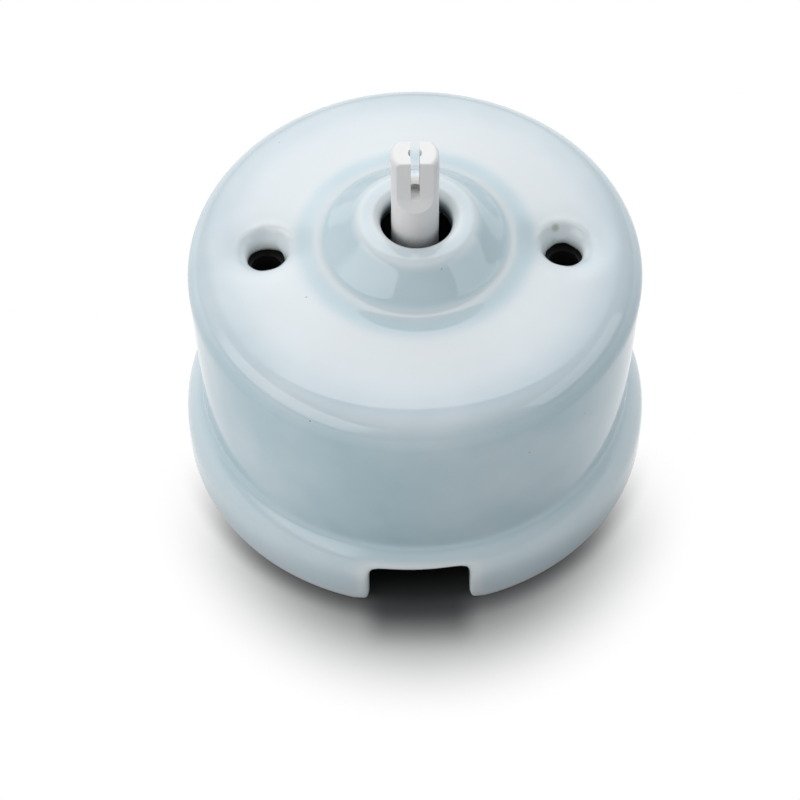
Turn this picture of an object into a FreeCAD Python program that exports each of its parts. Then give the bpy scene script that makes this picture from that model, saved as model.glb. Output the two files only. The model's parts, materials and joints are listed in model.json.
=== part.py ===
import FreeCAD, Part
import math
import os

from FreeCAD import Vector

# Porcelain cover, outside
flange_radius = 32.5
flange_band = 5.0
flange_round = 7.0
foot_round = 0.8
cove_round = 2.0
wall_inset = 3.0
wall_flare_deg = 2.0
shoulder_round = 4.4
dome_height = 40.4
dome_radius = 175.0

# Plinth and collar round the spindle hole
plinth_foot = 15.4
plinth_edge = 13.8
plinth_crest = 13.2
plinth_rise = 0.65
plinth_edge_rise = 0.455
plinth_sag = 0.12
cone_foot = 12.7
cone_deg = 45.0
rim_ring = 7.0
rim_round = 2.25
collar_rise = 4.6

# Porcelain cover, inside
wall_thickness = 2.7
roof_drop = 5.4
roof_round = 2.5
recess_radius = 9.0
recess_rise = 6.4
collar_wall = 2.6

# Cover-screw holes
cover_screw_spacing = 40.0
cover_screw_bore = 2.5
dish_radius = 6.2
dish_crease = 4.1
dish_depth = 0.5
dish_mid_depth = 0.175
lip_depth = 2.0

# Cable notch
notch_width = 13.7
notch_height = 7.6
notch_corner = 1.5
notch_edge_round = 0.7

# Moulded base
base_play = 0.8
plate_thickness = 3.5
cable_gap_width = 18.0
cable_gap_margin = 0.7
wall_screw_spacing = 36.0
wall_screw_bore = 2.1
wall_screw_head = 3.8
pivot_boss_radius = 4.5
pivot_boss_rise = 3.0
chamber_radius = 10.0
chamber_wall = 2.5
post_radius = 4.4
post_bore = 2.1
post_gap = 0.3
rib_width = 6.4
back_recess = 1.6

# Spindle
spindle_radius = 3.15
spindle_reach = 12.5
tip_round = 0.6
tip_edge_round = 0.2
tip_flats = 4.0
tip_flat_length = 8.5
flat_run_out = 2.0
tip_slot_width = 1.2
tip_slot_depth = 7.1
tip_pilot_radius = 0.9
tip_pilot_depth = 0.8
pivot_radius = 2.0
pivot_length = 4.6
journal_radius = 4.0
journal_stand = 0.5
drive_square = 5.0
drive_length = 11.2
detent_square = 8.0
detent_corner = 5.4
detent_height = 4.05

# Bearing plate and thrust washer
bearing_plate_thickness = 2.5
bearing_boss_radius = 6.2
bearing_boss_rise = 2.3
ear_radius = 2.7
washer_radius = 6.2
washer_thickness = 0.3

# Rotor and contact bar
bar_height = 10.0
bar_thickness = 1.3
bar_width = 5.0
bar_reach = 8.5
bar_hub_radius = 5.0
rotor_radius = 8.3
rotor_thickness = 2.0
rotor_hub_radius = 4.5
rivet_radius = 0.6
rivet_head_radius = 1.0
rivet_head_height = 0.5
rivet_spacing = 11.4

# Detent springs
spring_thickness = 0.5
spring_height = 3.6
spring_length = 22.0

# Terminals and contact fingers, on the four diagonals
station_radius = 18.5
pad_rise = 1.5
pad_margin = 1.0
terminal_size = 7.0
terminal_height = 8.0
wire_hole_radius = 1.6
wire_hole_rise = 3.0
stem_radius = 1.5
stem_head_radius = 2.4
stem_head_height = 0.6
finger_thickness = 0.5
finger_width = 4.0
finger_bend_stand = 0.6
finger_bend_round = 0.3
crown_inset = 0.2
crown_length = 1.4
finger_tip_length = 0.7
window_rise = 2.4
link_width = 4.0
link_thickness = 0.6

# Screws and inserts
screw_head_height = 1.8
screw_head_round = 0.3
screw_slot_width = 0.8
screw_slot_depth = 0.9
plate_screw_shank = 1.2
plate_screw_head = 2.25
plate_screw_length = 11.0
terminal_screw_shank = 1.45
terminal_screw_head = 2.6
terminal_screw_stand = 0.4
insert_radius = 2.9
insert_bore = 1.65
insert_length = 11.0
insert_flange_radius = 3.6
insert_flange_height = 1.0

# Clearances
running_clearance = 0.05
axial_play = 0.05
contact_gap = 0.05
fit_clearance = 0.05
loose_clearance = 0.2
past = 1.0
edge_tolerance = 0.01

# Heights and places that follow from these
wall_foot = flange_radius - wall_inset
cavity_radius = wall_foot - wall_thickness
roof = dome_height - roof_drop
recess_roof = roof + recess_rise
collar_top = dome_height + collar_rise
spindle_top = collar_top + spindle_reach
base_radius = cavity_radius - base_play
pad_top = plate_thickness + pad_rise
pivot_boss_top = plate_thickness + pivot_boss_rise
post_x = cover_screw_spacing / 2
wall_screw_y = wall_screw_spacing / 2
cable_gap_edge = wall_screw_y + wall_screw_head + cable_gap_margin
post_top = roof - post_gap
chamber_outer = chamber_radius + chamber_wall
drive_bottom = pivot_boss_top + 2 * axial_play
detent_bottom = drive_bottom + drive_length
detent_top = detent_bottom + detent_height
washer_bottom = detent_top + axial_play
chamber_top = washer_bottom + washer_thickness
bearing_top = chamber_top + bearing_plate_thickness
journal_top = bearing_top + bearing_boss_rise + journal_stand
plate_screw_x = (chamber_radius + post_x - post_radius) / 2
bar_top = bar_height + bar_thickness
rotor_top = bar_top + rotor_thickness
spring_bottom = detent_bottom + (detent_height - spring_height) / 2
terminal_bottom = pad_top + finger_thickness
terminal_top = terminal_bottom + terminal_height
insert_top = back_recess + insert_length
stations = [45, 135, 225, 315]
linked_stations = [45, 315]


def rod(radius, bottom, top, x=0, y=0):
    return Part.makeCylinder(radius, top - bottom, Vector(x, y, bottom))


def tube(outer, inner, bottom, top):
    return rod(outer, bottom, top).cut(rod(inner, bottom - past, top + past))


def block(x_low, x_high, width, bottom, top):
    return Part.makeBox(x_high - x_low, width, top - bottom, Vector(x_low, -width / 2, bottom))


def square_bar(side, bottom, top):
    return block(-side / 2, side / 2, side, bottom, top)


def taper(low_radius, high_radius, bottom, top, x=0, y=0):
    return Part.makeCone(low_radius, high_radius, top - bottom, Vector(x, y, bottom))


def joined(first, *others):
    return first.multiFuse(list(others)).removeSplitter()


def turned_to(shape, deg):
    copy = shape.copy()
    copy.rotate(Vector(0, 0, 0), Vector(0, 0, 1), deg)
    return copy


def moved_to(shape, x, y=0, z=0):
    copy = shape.copy()
    copy.translate(Vector(x, y, z))
    return copy


def on_circle(centre, radius, deg):
    angle = math.radians(deg)
    return (centre[0] + radius * math.cos(angle), centre[1] + radius * math.sin(angle))


def bearing_deg(start, end):
    return math.degrees(math.atan2(end[1] - start[1], end[0] - start[0]))


def far_point(start, way, centre, reach):
    # the far point of a line that lies at a given reach from a centre
    across = (start[0] - centre[0], start[1] - centre[1])
    along = across[0] * way[0] + across[1] * way[1]
    rest = across[0] ** 2 + across[1] ** 2 - reach ** 2
    step = math.sqrt(along ** 2 - rest) - along
    return (start[0] + way[0] * step, start[1] + way[1] * step)


def outline(start, steps):
    # a closed face in the XZ plane; a step is an end point, or a point on an arc and its end
    edges = []
    here = Vector(start[0], 0, start[1])
    for step in steps:
        there = Vector(step[-1][0], 0, step[-1][1])
        if len(step) == 2:
            edges.append(Part.Arc(here, Vector(step[0][0], 0, step[0][1]), there).toShape())
        else:
            edges.append(Part.makeLine(here, there))
        here = there
    return Part.Face(Part.Wire(edges))


def revolved(start, steps):
    return outline(start, steps).revolve(Vector(0, 0, 0), Vector(0, 0, 1), 360)


def dome_at(radius):
    return dome_height - dome_radius + math.sqrt(dome_radius ** 2 - radius ** 2)


def side_steps():
    # from the foot up over the flange, the cove, the flared wall and the shoulder to the dome
    flare = math.radians(wall_flare_deg)
    up = (math.sin(flare), math.cos(flare))
    out = (math.cos(flare), -math.sin(flare))
    flange = (flange_radius - flange_round, flange_band)
    cove_line = (wall_foot + cove_round * out[0], cove_round * out[1])
    cove = far_point(cove_line, up, flange, flange_round + cove_round)
    dome = (0, dome_height - dome_radius)
    shoulder_line = (wall_foot - shoulder_round * out[0], -shoulder_round * out[1])
    shoulder = far_point(shoulder_line, up, dome, dome_radius - shoulder_round)
    foot = (flange_radius - foot_round, foot_round)
    flange_end = bearing_deg(flange, cove)
    cove_start = flange_end + 180
    cove_end = 180 - wall_flare_deg
    shoulder_end = bearing_deg(dome, shoulder)
    dome_end = math.degrees(math.acos(plinth_foot / dome_radius))
    return [
        [(foot[0], 0)],
        [on_circle(foot, foot_round, -45), (flange_radius, foot_round)],
        [(flange_radius, flange_band)],
        [on_circle(flange, flange_round, flange_end / 2), on_circle(flange, flange_round, flange_end)],
        [on_circle(cove, cove_round, (cove_start + cove_end) / 2), on_circle(cove, cove_round, cove_end)],
        [on_circle(shoulder, shoulder_round, -wall_flare_deg)],
        [on_circle(shoulder, shoulder_round, (shoulder_end - wall_flare_deg) / 2),
         on_circle(shoulder, shoulder_round, shoulder_end)],
        [on_circle(dome, dome_radius, (shoulder_end + dome_end) / 2), (plinth_foot, dome_at(plinth_foot))],
    ]


def collar_steps():
    # the low plinth, the cone and the rolled rim, down into the spindle hole
    rim = (rim_ring, collar_top - rim_round)
    cone_top = on_circle(rim, rim_round, cone_deg)
    slope = math.tan(math.radians(90 - cone_deg))
    cone_low = (cone_foot, cone_top[1] - (cone_foot - cone_top[0]) * slope)
    crest = (plinth_crest, dome_at(plinth_crest) + plinth_rise)
    edge = (plinth_edge, dome_at(plinth_edge) + plinth_edge_rise)
    foot_z = dome_at(plinth_foot)
    sag = ((plinth_foot + plinth_edge) / 2, (foot_z + edge[1]) / 2 - plinth_sag)
    return [
        [sag, edge],
        [crest, cone_low],
        [cone_top],
        [on_circle(rim, rim_round, (cone_deg + 180) / 2), (rim_ring - rim_round, rim[1])],
        [(rim_ring - rim_round, recess_roof)],
    ]


def under_cone(z):
    # the radius, at a given height, of the hollow that leaves an even wall below the collar's cone
    rim = (rim_ring, collar_top - rim_round)
    start = on_circle(rim, rim_round - collar_wall, cone_deg)
    slope = math.tan(math.radians(90 - cone_deg))
    return start[0] + (start[1] - z) / slope


def cavity_steps():
    # the recess under the collar, the roof and the inner wall, back to the foot
    corner = (cavity_radius - roof_round, roof - roof_round)
    slope = math.tan(math.radians(90 - cone_deg))
    recess_top = under_cone(recess_roof)
    recess_shoulder = recess_roof - (recess_radius - recess_top) * slope
    return [
        [(recess_top, recess_roof)],
        [(recess_radius, recess_shoulder)],
        [(recess_radius, roof)],
        [(corner[0], roof)],
        [on_circle(corner, roof_round, 45), (cavity_radius, corner[1])],
        [(cavity_radius, foot_round)],
        [(cavity_radius + foot_round, 0)],
    ]


def dish_cutter(side):
    # a shallow dish square to the dome, with a rolled lip into a bore square to the wall
    crease = (dish_crease, -dish_depth)
    lip_end = (cover_screw_bore, -lip_depth)
    lip_mid = ((crease[0] + 2 * lip_end[0]) / 3, (2 * crease[1] + lip_end[1]) / 3)
    dish_mid = ((dish_radius + dish_crease) / 2, -dish_mid_depth)
    dish = revolved((0, past), [
        [(dish_radius, past)],
        [(dish_radius, 0)],
        [dish_mid, crease],
        [lip_mid, lip_end],
        [(0, -lip_depth)],
        [(0, past)],
    ])
    lean = math.degrees(math.asin(post_x / dome_radius))
    dish.rotate(Vector(0, 0, 0), Vector(0, 1, 0), side * lean)
    dish = moved_to(dish, side * post_x, 0, dome_at(post_x))
    dish = dish.cut(rod(plinth_foot, roof, collar_top))
    return dish.fuse(rod(cover_screw_bore, roof - past, dome_height, side * post_x))


def notch_cutter():
    half = notch_width / 2
    left = (notch_corner - half, notch_height - notch_corner)
    right = (half - notch_corner, notch_height - notch_corner)
    face = outline((-half, -past), [
        [(-half, left[1])],
        [on_circle(left, notch_corner, 135), (left[0], notch_height)],
        [(right[0], notch_height)],
        [on_circle(right, notch_corner, 45), (half, right[1])],
        [(half, -past)],
        [(-half, -past)],
    ])
    start = cavity_radius - 2 * wall_thickness
    face.translate(Vector(0, -start, 0))
    return face.extrude(Vector(0, start - flange_radius - past, 0))


def notch_edges(cover):
    # the notch's edges on the outer skin, without those that run through the wall
    skin = flange_radius - wall_inset
    edges = []
    for edge in cover.Edges:
        box = edge.BoundBox
        beside = max(abs(box.XMin), abs(box.XMax)) <= notch_width / 2 + fit_clearance
        if beside and box.YMax < -skin and box.ZMax < notch_height + fit_clearance and box.ZMax > edge_tolerance:
            edges.append(edge)
    return edges


def porcelain_cover():
    start = (cavity_radius + foot_round, 0)
    cover = revolved(start, side_steps() + collar_steps() + cavity_steps())
    for side in (-1, 1):
        cover = cover.cut(dish_cutter(side))
    cover = cover.cut(notch_cutter())
    return cover.makeFillet(notch_edge_round, notch_edges(cover))


def station_pad():
    half = terminal_size / 2 + pad_margin
    inner = chamber_radius + chamber_wall / 2
    return block(inner, station_radius + half, 2 * half, 0, pad_top)


def base_back_cuts():
    # recesses on the wall side for the terminal stems, the link and the inserts
    cuts = []
    for deg in stations:
        recess = rod(stem_head_radius + 2 * loose_clearance, -past, back_recess, station_radius)
        hole = rod(stem_radius + fit_clearance, 0, pad_top + past, station_radius)
        cuts.append(turned_to(recess.fuse(hole), deg))
    reach = station_radius * math.sin(math.radians(stations[0]))
    groove = block(-reach, reach, link_width + 2 * loose_clearance, -past, back_recess)
    groove.rotate(Vector(0, 0, 0), Vector(0, 0, 1), 90)
    cuts.append(moved_to(groove, reach))
    for side in (-1, 1):
        x = side * post_x
        cuts.append(rod(insert_flange_radius + loose_clearance / 2, -past, back_recess, x))
        cuts.append(rod(insert_radius + fit_clearance / 2, 0, insert_top, x))
        cuts.append(rod(post_bore, 0, post_top + past, x))
    return cuts


def base_front_cuts():
    cuts = [rod(pivot_radius + running_clearance, drive_bottom - pivot_length - loose_clearance, chamber_top)]
    gap = Part.makeBox(cable_gap_width, base_radius, plate_thickness + 2 * past)
    cuts.append(moved_to(gap, -cable_gap_width / 2, -cable_gap_edge - base_radius, -past))
    for side in (-1, 1):
        y = side * wall_screw_y
        cuts.append(rod(wall_screw_bore, -past, plate_thickness + past, 0, y))
        sink = wall_screw_head - wall_screw_bore
        cuts.append(taper(wall_screw_bore, wall_screw_head, plate_thickness - sink, plate_thickness, 0, y))
        screw_bottom = bearing_top - plate_screw_length - loose_clearance
        cuts.append(rod(plate_screw_shank + fit_clearance, screw_bottom, chamber_top + past,
                        side * plate_screw_x))
        slot = block(-spring_length / 2 - fit_clearance, spring_length / 2 + fit_clearance,
                     spring_thickness + 2 * fit_clearance, spring_bottom, chamber_top + past)
        cuts.append(moved_to(slot, 0, side * spring_y()))
    for deg in stations:
        window = block(chamber_radius - past, chamber_outer + past, finger_width + 2 * loose_clearance,
                       pad_top, pad_top + window_rise)
        cuts.append(turned_to(window, deg))
    return cuts


def base():
    plate = rod(base_radius, 0, plate_thickness)
    chamber = tube(chamber_outer, chamber_radius, 0, chamber_top)
    boss = rod(pivot_boss_radius, 0, pivot_boss_top)
    added = [boss, chamber]
    for side in (-1, 1):
        added.append(rod(post_radius, 0, post_top, side * post_x))
        rib = block(chamber_radius + chamber_wall / 4, post_x, rib_width, 0, chamber_top)
        added.append(turned_to(rib, 90 - 90 * side))
    for deg in stations:
        added.append(turned_to(station_pad(), deg))
    body = joined(plate, *added)
    for cutter in base_back_cuts() + base_front_cuts():
        body = body.cut(cutter)
    return body.removeSplitter()


def bearing_plate():
    plate = rod(chamber_outer, chamber_top, bearing_top)
    boss = rod(bearing_boss_radius, chamber_top, bearing_top + bearing_boss_rise)
    ears = [rod(ear_radius, chamber_top, bearing_top, side * plate_screw_x) for side in (-1, 1)]
    body = joined(plate, boss, *ears)
    body = body.cut(rod(journal_radius + running_clearance, 0, spindle_top))
    for side in (-1, 1):
        body = body.cut(rod(plate_screw_shank + loose_clearance, 0, spindle_top, side * plate_screw_x))
        body = body.cut(rod(post_radius + loose_clearance, 0, spindle_top, side * post_x))
    return body


def slotted_screw(shank, head_radius, length, x):
    # a cheese-head screw, its head standing on z = 0
    head = rod(head_radius, 0, screw_head_height)
    rim = [e for e in head.Edges if e.BoundBox.ZMin > screw_head_height / 2]
    head = head.makeFillet(screw_head_round, rim)
    slot = block(-head_radius - past, head_radius + past, screw_slot_width,
                 screw_head_height - screw_slot_depth, screw_head_height + past)
    screw = joined(head.cut(slot), rod(shank, -length, 0))
    return moved_to(screw, x)


def plate_screws():
    screw = slotted_screw(plate_screw_shank, plate_screw_head, plate_screw_length, plate_screw_x)
    return Part.makeCompound([moved_to(turned_to(screw, deg), 0, 0, bearing_top) for deg in (0, 180)])


def terminal_screws():
    length = terminal_height - wire_hole_rise - wire_hole_radius + terminal_screw_stand
    screw = slotted_screw(terminal_screw_shank, terminal_screw_head, length, station_radius)
    screw = moved_to(screw, 0, 0, terminal_top + terminal_screw_stand)
    return Part.makeCompound([turned_to(screw, deg) for deg in stations])


def thrust_washer():
    return tube(washer_radius, journal_radius + running_clearance, washer_bottom, chamber_top)


def flat_cutter():
    # clears one side of the tip down to a flat that runs out in a hollow curve
    flat = tip_flats / 2
    bottom = spindle_top - tip_flat_length
    corner = (flat + flat_run_out, bottom + flat_run_out)
    far = corner[0] + past
    face = outline((flat, spindle_top + past), [
        [(flat, corner[1])],
        [on_circle(corner, flat_run_out, 225), (corner[0], bottom)],
        [(far, bottom)],
        [(far, spindle_top + past)],
        [(flat, spindle_top + past)],
    ])
    face.translate(Vector(0, -2 * spindle_radius, 0))
    return face.extrude(Vector(0, 4 * spindle_radius, 0))


def on_flat_rim(edge):
    # edges round the flats lie on the neck's skin or on its end, not across a flat
    middle = edge.valueAt((edge.FirstParameter + edge.LastParameter) / 2)
    return middle.z > spindle_top - tip_round or math.hypot(middle.x, middle.y) > spindle_radius - edge_tolerance


def spindle_neck():
    # the round neck with a rounded end, two flats and a slot with a short pilot hole in its floor
    neck = rod(spindle_radius, journal_top, spindle_top)
    neck = neck.makeFillet(tip_round, [e for e in neck.Edges if e.BoundBox.ZMin > spindle_top - edge_tolerance])
    for deg in (90, 270):
        neck = neck.cut(turned_to(flat_cutter(), deg))
    flat_edges = [e for e in neck.Edges if e.BoundBox.ZMin > spindle_top - tip_flat_length - edge_tolerance
                  and on_flat_rim(e)]
    neck = neck.makeFillet(tip_edge_round, flat_edges)
    slot_floor = spindle_top - tip_slot_depth
    slot = block(-tip_slot_width / 2, tip_slot_width / 2, 3 * spindle_radius, slot_floor, spindle_top + past)
    neck = neck.cut(slot)
    return neck.cut(rod(tip_pilot_radius, slot_floor - tip_pilot_depth, spindle_top + past))


def spindle():
    pivot = rod(pivot_radius, drive_bottom - pivot_length, drive_bottom)
    drive = square_bar(drive_square, drive_bottom, detent_bottom)
    detent = square_bar(detent_square, detent_bottom, detent_top)
    detent = detent.common(rod(detent_corner, detent_bottom, detent_top))
    journal = rod(journal_radius, detent_top, journal_top)
    return joined(pivot, drive, detent, journal, spindle_neck())


def drive_hole(bottom, top):
    return square_bar(drive_square + 2 * fit_clearance, bottom, top)


def rivet_x():
    return rivet_spacing / 2


def rotor():
    disc = rod(rotor_radius, bar_top, rotor_top)
    body = joined(disc, rod(rotor_hub_radius, bar_top, detent_bottom))
    body = body.cut(drive_hole(0, spindle_top))
    for deg in (stations[0], stations[2]):
        body = body.cut(turned_to(rod(rivet_radius + fit_clearance, 0, spindle_top, rivet_x()), deg))
    return body


def contact_bar():
    arms = block(-bar_reach - past, bar_reach + past, bar_width, bar_height, bar_top)
    arms = arms.common(rod(bar_reach, bar_height, bar_top))
    body = turned_to(joined(arms, rod(bar_hub_radius, bar_height, bar_top)), stations[0])
    body = body.cut(drive_hole(0, spindle_top))
    for deg in (stations[0], stations[2]):
        body = body.cut(turned_to(rivet_hole(), deg))
    return body


def rivet_hole():
    sink = taper(rivet_head_radius + fit_clearance, rivet_radius + fit_clearance,
                 bar_height, bar_height + rivet_head_height, rivet_x())
    return sink.fuse(rod(rivet_radius + fit_clearance, 0, spindle_top, rivet_x()))


def rotor_rivets():
    foot = taper(rivet_head_radius, rivet_radius, bar_height, bar_height + rivet_head_height, rivet_x())
    shank = rod(rivet_radius, bar_height, rotor_top, rivet_x())
    head = rod(rivet_head_radius, rotor_top, rotor_top + rivet_head_height, rivet_x())
    rivet = joined(foot, shank, head)
    return Part.makeCompound([turned_to(rivet, deg) for deg in (stations[0], stations[2])])


def spring_y():
    return detent_square / 2 + contact_gap + spring_thickness / 2


def detent_spring(side):
    strip = block(-spring_length / 2, spring_length / 2, spring_thickness,
                  spring_bottom, spring_bottom + spring_height)
    return moved_to(strip, 0, side * spring_y())


def terminal(deg):
    # a wire block with a stem that goes through the finger and the base and is spread at the back
    half = terminal_size / 2
    body = block(station_radius - half, station_radius + half, terminal_size, terminal_bottom, terminal_top)
    wire_hole = Part.makeCylinder(wire_hole_radius, terminal_size + 2 * past,
                                  Vector(station_radius - half - past, 0, terminal_bottom + wire_hole_rise),
                                  Vector(1, 0, 0))
    body = body.cut(wire_hole)
    body = body.cut(rod(terminal_screw_shank + fit_clearance, terminal_bottom + wire_hole_rise,
                        terminal_top + past, station_radius))
    head_top = back_recess
    if deg in linked_stations:
        head_top = back_recess - link_thickness
    stem = rod(stem_radius, head_top, terminal_bottom, station_radius)
    head = rod(stem_head_radius, head_top - stem_head_height, head_top, station_radius)
    return turned_to(joined(body, stem, head), deg)


def shifted(path, by):
    # a path moved sideways by an even amount, with its corners mitred
    ways = [(b - a).normalize() for a, b in zip(path, path[1:])]
    moved = []
    for i, spot in enumerate(path):
        before = ways[max(i - 1, 0)]
        after = ways[min(i, len(ways) - 1)]
        across = Vector(-before.z - after.z, 0, before.x + after.x).normalize()
        square = Vector(-after.z, 0, after.x)
        moved.append(spot + across * (by / across.dot(square)))
    return moved


def bent(strip, corners, radius):
    # rounds the strip's cross edges that run through the given corners
    edges = []
    for edge in strip.Edges:
        middle = edge.CenterOfMass
        near = min(math.hypot(middle.x - corner.x, middle.z - corner.z) for corner in corners)
        if near < edge_tolerance:
            edges.append(edge)
    return strip.makeFillet(radius, edges)


def contact_finger(deg):
    low = pad_top + finger_thickness / 2
    high = bar_height - contact_gap - finger_thickness / 2
    tail = station_radius + terminal_size / 2
    bend = chamber_radius + finger_bend_stand
    crown_outer = bar_reach - crown_inset
    crown_inner = crown_outer - crown_length
    path = [Vector(tail, 0, low), Vector(bend, 0, low), Vector(crown_outer, 0, high),
            Vector(crown_inner, 0, high),
            Vector(crown_inner - finger_tip_length, 0, high - finger_tip_length)]
    under = shifted(path, finger_thickness / 2)
    over = shifted(path, -finger_thickness / 2)
    rim = under + over[::-1]
    strip = Part.Face(Part.makePolygon(rim + rim[:1])).extrude(Vector(0, finger_width, 0))
    strip = bent(strip, under[1:2] + over[2:4], finger_bend_round + finger_thickness)
    strip = bent(strip, over[1:2] + under[2:4], finger_bend_round)
    strip = moved_to(strip, 0, -finger_width / 2)
    strip = strip.cut(rod(stem_radius + fit_clearance, 0, terminal_top, station_radius))
    return turned_to(strip, deg)


def common_link():
    # joins one stem of each contact pair behind the base
    reach = station_radius * math.sin(math.radians(stations[0]))
    bottom = back_recess - link_thickness
    strip = block(-reach, reach, link_width, bottom, back_recess)
    ends = [rod(link_width / 2, bottom, back_recess, side * reach) for side in (-1, 1)]
    strip = joined(strip, *ends)
    for side in (-1, 1):
        strip = strip.cut(rod(stem_radius + fit_clearance, 0, pad_top, side * reach))
    return moved_to(turned_to(strip, 90), reach)


def post_inserts():
    flange = rod(insert_flange_radius, back_recess - insert_flange_height, back_recess)
    insert = joined(flange, rod(insert_radius, back_recess, insert_top))
    insert = insert.cut(rod(insert_bore, -past, post_top))
    return Part.makeCompound([moved_to(insert, side * post_x) for side in (-1, 1)])


def all_parts():
    parts = {
        "porcelain_cover": porcelain_cover(),
        "base": base(),
        "bearing_plate": bearing_plate(),
        "plate_screws": plate_screws(),
        "thrust_washer": thrust_washer(),
        "spindle": spindle(),
        "rotor": rotor(),
        "contact_bar": contact_bar(),
        "rotor_rivets": rotor_rivets(),
        "detent_spring_front": detent_spring(-1),
        "detent_spring_back": detent_spring(1),
        "common_link": common_link(),
        "terminal_screws": terminal_screws(),
        "post_inserts": post_inserts(),
    }
    for number, deg in enumerate(stations, 1):
        parts["terminal_%d" % number] = terminal(deg)
        parts["contact_finger_%d" % number] = contact_finger(deg)
    return parts


os.makedirs("parts", exist_ok=True)
for name, shape in all_parts().items():
    shape.exportStep("parts/%s.step" % name)
    print(name, len(shape.Solids), "%.1f mm3" % shape.Volume, shape.isValid())
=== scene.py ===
import bmesh
import bpy
import json
import math
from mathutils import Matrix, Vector


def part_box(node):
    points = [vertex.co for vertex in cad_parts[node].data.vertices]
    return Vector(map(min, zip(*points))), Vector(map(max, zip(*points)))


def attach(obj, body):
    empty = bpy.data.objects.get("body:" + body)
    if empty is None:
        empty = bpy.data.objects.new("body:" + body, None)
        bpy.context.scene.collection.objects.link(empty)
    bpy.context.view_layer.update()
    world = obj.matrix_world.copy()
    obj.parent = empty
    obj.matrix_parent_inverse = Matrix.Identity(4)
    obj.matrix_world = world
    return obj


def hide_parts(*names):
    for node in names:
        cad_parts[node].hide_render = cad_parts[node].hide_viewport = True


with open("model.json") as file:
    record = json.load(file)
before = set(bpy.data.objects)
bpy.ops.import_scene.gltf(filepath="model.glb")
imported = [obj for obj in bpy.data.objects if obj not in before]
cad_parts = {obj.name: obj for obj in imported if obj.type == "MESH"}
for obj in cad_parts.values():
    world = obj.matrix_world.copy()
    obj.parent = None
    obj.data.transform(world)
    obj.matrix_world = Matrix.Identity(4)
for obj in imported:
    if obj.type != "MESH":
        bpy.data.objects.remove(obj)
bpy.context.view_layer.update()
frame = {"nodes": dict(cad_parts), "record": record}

mm = 0.001  # sizes below are in millimetres, meshes in metres
nodes = frame["nodes"]
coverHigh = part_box("porcelain_cover")[1]
print("frame loaded:", len(nodes), "nodes")


# shared mesh helpers

def arcPoints(centre, radius, startDeg, endDeg, steps):
    points = []
    for step in range(steps + 1):
        angle = math.radians(startDeg + (endDeg - startDeg) * step / steps)
        points.append((centre[0] + radius * math.cos(angle), centre[1] + radius * math.sin(angle)))
    return points


def linePoints(start, end, steps):  # the points between the two ends
    across, up = end[0] - start[0], end[1] - start[1]
    return [(start[0] + across * step / steps, start[1] + up * step / steps) for step in range(1, steps)]


def smoothStep(value):
    value = min(1.0, max(0.0, value))
    return value * value * (3 - 2 * value)


def meshObject(name, bm):
    mesh = bpy.data.meshes.new(name)
    bm.to_mesh(mesh)
    bm.free()
    mesh.shade_smooth()
    piece = bpy.data.objects.new(name, mesh)
    bpy.context.scene.collection.objects.link(piece)
    return piece


# porcelain cover: one spun shell with dished screw holes and a cable notch
# rings are where the mesh has its loops, as heights on upright stretches and as radii on level ones

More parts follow.
